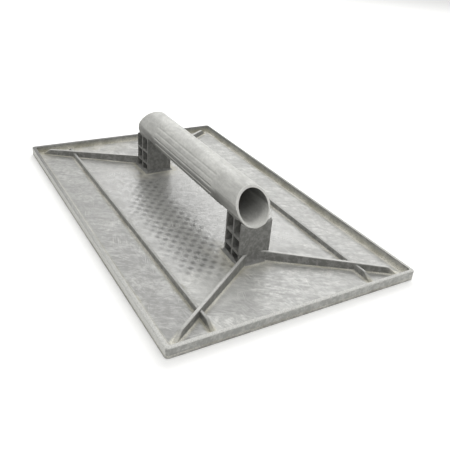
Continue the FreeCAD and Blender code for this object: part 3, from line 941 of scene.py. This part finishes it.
def tube_surface(x, degrees):
    """Outer radius at a place along the handle and an angle from the level back flank."""
    rise = degrees if abs(degrees) <= 90 else math.copysign(180, degrees) - degrees
    radius = tube_radius
    ledge = ledge_high - ledge_fall * (abs(x) - step_start) / (tube_half - step_start)
    if rise < ledge:
        radius -= step_depth * smooth_step(*step_fade, abs(x))
    nearest = min(abs(rise - flute) for flute in flute_angles)
    across = math.radians(nearest) * tube_radius / flute_half_width
    if across < 1:
        left = flute_worn_left if rise > flute_worn_above else 1
        cut = flute_depth * left * math.sqrt(1 - across**2)
        radius -= cut * smooth_step(*flute_fade, abs(x))
    return radius


def tube_ring(x=0.0, end=0, back=0.0, inset=0.0, bore=False):
    """A ring round the handle's surface or set in from it, or round its bore. It is level
    across at x, or it follows a slanted end, set back from it. The lower lip of the bore is
    thinned at its mouth, and the mouth ends flush with the post's outer face."""
    ring = []
    for step in range(ring_points):
        degrees = (step + 0.5) * 360 / ring_points - 180
        angle = math.radians(degrees)
        here = end * tube_half if end else x
        if bore:
            notch = max(0, 1 - abs(degrees + 90) / lip_notch_spread)
            reach = bore_radius + lip_notch * notch * max(0, 1 - back / lip_notch_length)
        else:
            reach = tube_surface(here, degrees) - inset
        y, z = reach * math.cos(angle), tube_axis + reach * math.sin(angle)
        if end:
            mouth = tube_half - end_slope * (z - tube_axis)
            here = end * (min(mouth, post_high.x + mouth_clear) - back)
        ring.append(Vector((here, y, z)))
    return ring


def mouth_rings(end):
    """Rings from deep in the bore, out over one rounded mouth and on to the handle's side."""
    rings = [tube_ring(end=end, back=back, bore=True) for back in bore_stations]
    rings.append(tube_ring(end=end, inset=0.8 * mm))
    rings.append(tube_ring(end=end, inset=0.6 * mm))
    rings.append(tube_ring(end=end, back=0.26 * mm, inset=0.26 * mm))
    rings.append(tube_ring(end=end, back=0.9 * mm))
    return rings


def build_handle():
    """Rings from one mouth to the other, close together where the grip and the steps end."""
    marks = [step_start + 0.4 * mm, step_start, step_start - 0.4 * mm]
    marks += [grip_half + 0.3 * mm, grip_half - 0.2 * mm, grip_half - 0.7 * mm]
    middle = [-m for m in marks] + [-40 * mm, -20 * mm, 0, 20 * mm, 40 * mm] + marks[::-1]
    rings = mouth_rings(-1) + [tube_ring(x) for x in middle] + mouth_rings(1)[::-1]
    verts, faces = join_loops(rings, closed=True)
    return piece_from("fluted_handle", verts, faces, ["handle_tube"], crease=40)


def flute_line(point, start, end):
    """1 on a line along the grip beside each upper flute, between two angles from it."""
    if abs(point.x) > grip_half:
        return 0
    degrees = math.degrees(math.atan2(point.z - tube_axis, abs(point.y)))
    for flute in lined_flutes:
        if start <= degrees - flute <= end:
            return 1
    return 0


def place_in_handle(point):
    """Height over the handle's axis, distance from it, and depth in from the slanted end."""
    height = point.z - tube_axis
    depth = tube_half - end_slope * height - abs(point.x)
    return height, math.hypot(point.y, height), depth


def handle_wear_and_highlights(point):
    """The rims of the two mouths are pale, partly rubbed and partly painted highlight, most of
    all their lower lips, where painted light lies inside the bore near the mouth; painted
    highlights run along the lower edges of the flutes."""
    height, reach, depth = place_in_handle(point)
    low = smooth_step(*lower_fade, height)
    if reach < bore_radius + lip_notch + 0.05 * mm and depth > -0.1 * mm:
        # Painted light inside the lower lip; the edge of the mouth is partly rubbed, partly a
        # painted highlight.
        return max(low * smooth_step(11 * mm, 2 * mm, depth), 0.8 if depth < 0.5 * mm else 0)
    if depth > end_face:
        # Painted highlight along the lower edges of the flutes.
        return 0.35 * flute_line(point, -5, -1)
    # The top of the end face, partly rubbed and partly a painted highlight.
    return (1 - low) * 0.8


def handle_shade_and_darkening(point):
    """Painted shade darkens the bore, deeper in and nearer the mouth at its top, and the lower
    end face where it meets the post, as a painted shadow under the lip. Painted shade lies low
    on the step over the posts and along the upper edges of the flutes. The far left end is
    darker."""
    height, reach, depth = place_in_handle(point)
    if reach < bore_radius + 0.05 * mm:
        # Painted shade in the bore.
        low = smooth_step(*lower_fade, height)
        return 0.5 * smooth_step((0.3 + 3.7 * low) * mm, (5 + 7 * low) * mm, depth)
    if depth < end_face:
        # Painted shadow under the lip.
        return smooth_step(-4 * mm, -9 * mm, height) if reach > 15 * mm else 0
    if abs(point.x) > step_start - 0.5 * mm:
        duller = 0.17 * smooth_step(-68 * mm, -90 * mm, point.x)
        # Painted shade low on the step over the posts.
        return max(duller, 0.35 * smooth_step(2.6 * mm, 1.2 * mm, height))
    low = smooth_step(6 * mm, -2 * mm, height)
    # Painted shade along the upper edges of the flutes.
    return (0.15 + 0.5 * low) * flute_line(point, 1.5, 5)


handle = build_handle()
paint(handle, "wear_and_highlight", handle_wear_and_highlights)
paint(handle, "dirt_and_shade", handle_shade_and_darkening)
handle.data.materials.append(
    float_plastic(
        "handle_plastic",
        0.25,
        0.55,
        pale_from=-0.12,
        pale_to=0.14,
        scuffing=0.3,
        mottling=0.3,
        patches=18,
        roughness=0.6,
    )
)


# --- Floor, light and camera ------------------------------------------------------------------
# The float lies on its working face on a plain pale floor in a bright room. Soft light comes
# from above and from behind, and little from in front.

floor_reach = 6
floor_gap = 0.05 * mm


def build_floor():
    """A wide flat floor just under the float."""
    mesh = bpy.data.meshes.new("studio_floor")
    low, high = -floor_reach, floor_reach
    corners = [(low, low, 0), (high, low, 0), (high, high, 0), (low, high, 0)]
    mesh.from_pydata(corners, [], [(0, 1, 2, 3)])
    floor = bpy.data.objects.new("studio_floor", mesh)
    floor.location.z = -floor_gap
    bpy.context.scene.collection.objects.link(floor)
    material = bpy.data.materials.new("studio_white")
    material.use_nodes = True
    tree = material.node_tree
    shader = tree.nodes["Principled BSDF"]
    shader.inputs["Base Color"].default_value = (0.8, 0.8, 0.79, 1)
    shader.inputs["Roughness"].default_value = 0.9
    shader.inputs["Emission Color"].default_value = (1, 1, 0.99, 1)
    seen = tree.nodes.new("ShaderNodeLightPath").outputs["Is Camera Ray"]
    tree.links.new(maths(tree, "MULTIPLY", seen, 0.25), shader.inputs["Emission Strength"])
    mesh.materials.append(material)


build_floor()


def add_lamp(name, place, target, size, power):
    """A softbox at a place, turned to a target."""
    data = bpy.data.lights.new(name, "AREA")
    data.shape = "RECTANGLE"
    data.size, data.size_y = size
    data.energy = power
    lamp = bpy.data.objects.new(name, data)
    lamp.location = place
    lamp.rotation_euler = (Vector(target) - Vector(place)).to_track_quat("-Z", "Y").to_euler()
    bpy.context.scene.collection.objects.link(lamp)


add_lamp("overhead_softbox", (0.5, -0.1, 1.55), (0, 0, 0), (1.4, 1.4), 7)
add_lamp("rear_softbox", (-0.83, 0.8, 1.02), (0, 0, 0.05), (1.6, 0.95), 17)


def light_the_room():
    """White where the camera looks straight at it; otherwise bright behind, dim in front."""
    world = bpy.data.worlds.new("studio_room")
    bpy.context.scene.world = world
    world.use_nodes = True
    tree = world.node_tree
    background = tree.nodes["Background"]
    facing = tree.nodes.new("ShaderNodeTexCoord").outputs["Generated"]
    values = {0: facing, 1: (-0.8, 0.5, 0.33)}
    toward_back = add_node(tree, "ShaderNodeVectorMath", {"operation": "DOT_PRODUCT"}, values)
    values = {"Value": toward_back.outputs["Value"], "From Min": -1, "To Min": 0.56, "To Max": 0.6}
    level = add_node(tree, "ShaderNodeMapRange", None, values)
    seen = tree.nodes.new("ShaderNodeLightPath").outputs["Is Camera Ray"]
    strength = maths(tree, "MAXIMUM", seen, level.outputs["Result"])
    tree.links.new(strength, background.inputs["Strength"])
    background.inputs["Color"].default_value = (1, 1, 1, 1)


light_the_room()

camera_data = bpy.data.cameras.new("studio_camera")
camera_data.lens = 44.89
camera_data.sensor_width = 36
camera = bpy.data.objects.new("studio_camera", camera_data)
camera.location = (0.4236, -0.2239, 0.2535)
camera.rotation_euler = [math.radians(angle) for angle in (60.433, -3.948, 60.602)]
bpy.context.scene.collection.objects.link(camera)
bpy.context.scene.camera = camera
bpy.context.scene.view_settings.view_transform = "Standard"
